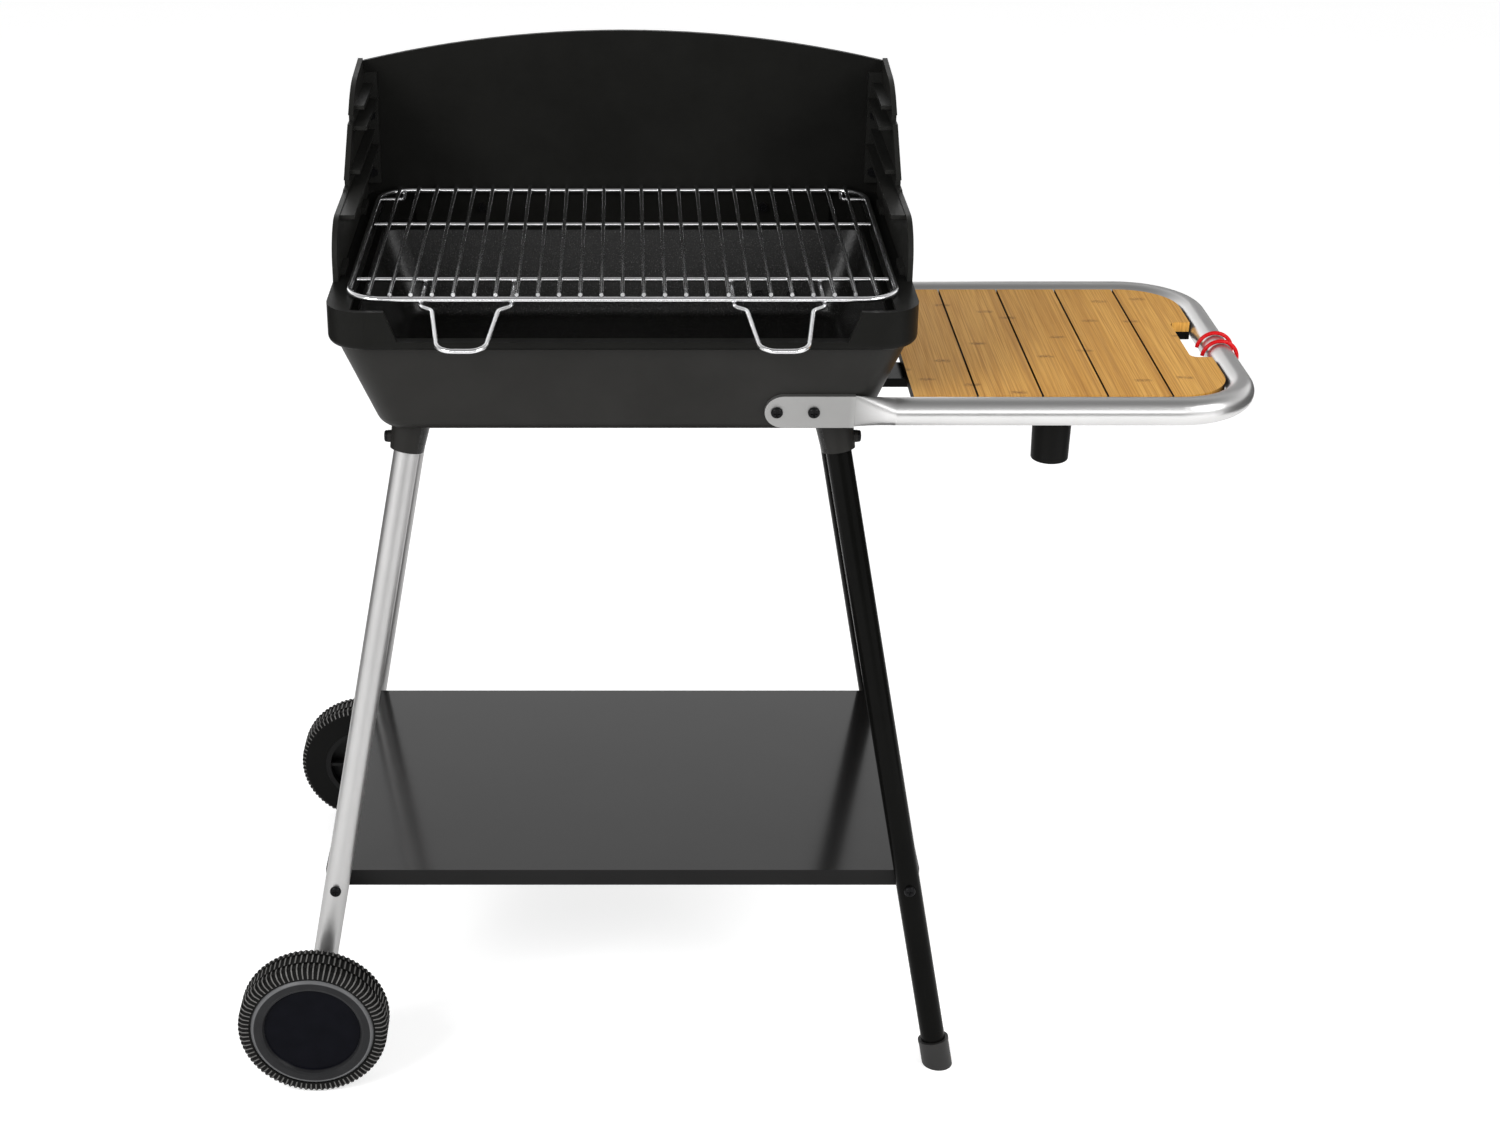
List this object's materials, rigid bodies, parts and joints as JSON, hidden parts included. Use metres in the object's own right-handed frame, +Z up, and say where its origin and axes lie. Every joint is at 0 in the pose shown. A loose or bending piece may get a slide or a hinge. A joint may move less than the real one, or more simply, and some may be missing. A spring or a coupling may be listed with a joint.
{
  "type": "charcoal grill trolley",
  "caption": "Charcoal grill trolley: a rectangular cast tub with a stepped windshield, a sliding wire grate, splayed tube legs with a shelf, wheels on one side and a slatted side table.",
  "frame": {"origin": "on the floor, under the middle of the whole object's bounding box", "axes": "+X towards the side table, +Y towards the windshield's back wall, +Z up"},
  "size_m": [1.016, 0.5824, 0.9905],
  "materials": {
    "cast_grey": "satin, fine sand-cast grain",
    "cast_black": "semi-gloss black enamel over the casting",
    "tube_silver": "satin silver paint",
    "tube_black": "gloss black paint",
    "shelf_grey": "gloss dark grey paint",
    "wire_chrome": "bright plated wire",
    "bamboo": "satin varnish, lengthwise grain",
    "hook_red": "gloss red coating",
    "screw_black": "semi-gloss black",
    "steel_plain": "plain zinc-plated steel",
    "tyre_plastic": "matte, finely ribbed",
    "wheel_plastic": "semi-gloss",
    "black_plastic": "satin moulding"
  },
  "bodies": {
    "grill": {"firebox_tub": "cast_grey", "firebox_belt": "cast_black", "windshield_back": "cast_black", "windshield_left": "cast_black", "windshield_right": "cast_black", "leg_front_left": "tube_silver", "leg_rear_left": "tube_silver", "side_handle": "tube_silver", "leg_front_right": "tube_black", "leg_rear_right": "tube_black", "slat_rail_front": "tube_black", "slat_rail_rear": "tube_black", "lower_shelf": "shelf_grey", "slat_1": "bamboo", "slat_2": "bamboo", "slat_3": "bamboo", "slat_4": "bamboo", "slat_5": "bamboo", "leg_socket_screws": "screw_black", "shelf_screws": "screw_black", "handle_screws": "screw_black", "windshield_bolts": "screw_black", "wing_tab_bolts": "screw_black", "slat_screws": "screw_black", "post_screw": "screw_black", "windshield_nuts": "screw_black", "wing_tab_nuts": "screw_black", "handle_nuts": "screw_black", "shelf_nuts": "steel_plain", "wheel_axle": "steel_plain", "axle_washers": "steel_plain", "axle_retainers": "steel_plain", "foot_cap_front": "black_plastic", "foot_cap_rear": "black_plastic", "board_post": "black_plastic"},
    "cooking_grate": {"grate_frame": "wire_chrome", "grate_rods": "wire_chrome", "grate_cross_wires": "wire_chrome", "grate_handle_left": "wire_chrome", "grate_handle_right": "wire_chrome", "grate_stops": "wire_chrome"},
    "front_wheel": {"front_tyre": "tyre_plastic", "front_hub": "wheel_plastic", "front_hubcap": "wheel_plastic"},
    "rear_wheel": {"rear_tyre": "tyre_plastic", "rear_hub": "wheel_plastic", "rear_hubcap": "wheel_plastic"},
    "hook_front": {"tool_hook_front": "hook_red"},
    "hook_rear": {"tool_hook_rear": "hook_red"}
  },
  "joints": [
    {"name": "grate_slide", "type": "slide", "parent": "grill", "child": "cooking_grate", "axis": [0, -1, 0], "range_m": [0, 0.25]},
    {"name": "front_wheel_spin", "type": "hinge", "parent": "grill", "child": "front_wheel", "pos_m": [-0.43202, -0.27, 0.076], "axis": [0, 1, 0], "continuous": true},
    {"name": "rear_wheel_spin", "type": "hinge", "parent": "grill", "child": "rear_wheel", "pos_m": [-0.43202, 0.27, 0.076], "axis": [0, 1, 0], "continuous": true},
    {"name": "hook_front_swing", "type": "hinge", "parent": "grill", "child": "hook_front", "pos_m": [0.48056, -0.035, 0.7105], "axis": [0, 1, 0], "range_deg": [-25, 25]},
    {"name": "hook_rear_swing", "type": "hinge", "parent": "grill", "child": "hook_rear", "pos_m": [0.48056, -0.0105, 0.7105], "axis": [0, 1, 0], "range_deg": [-25, 25]}
  ]
}
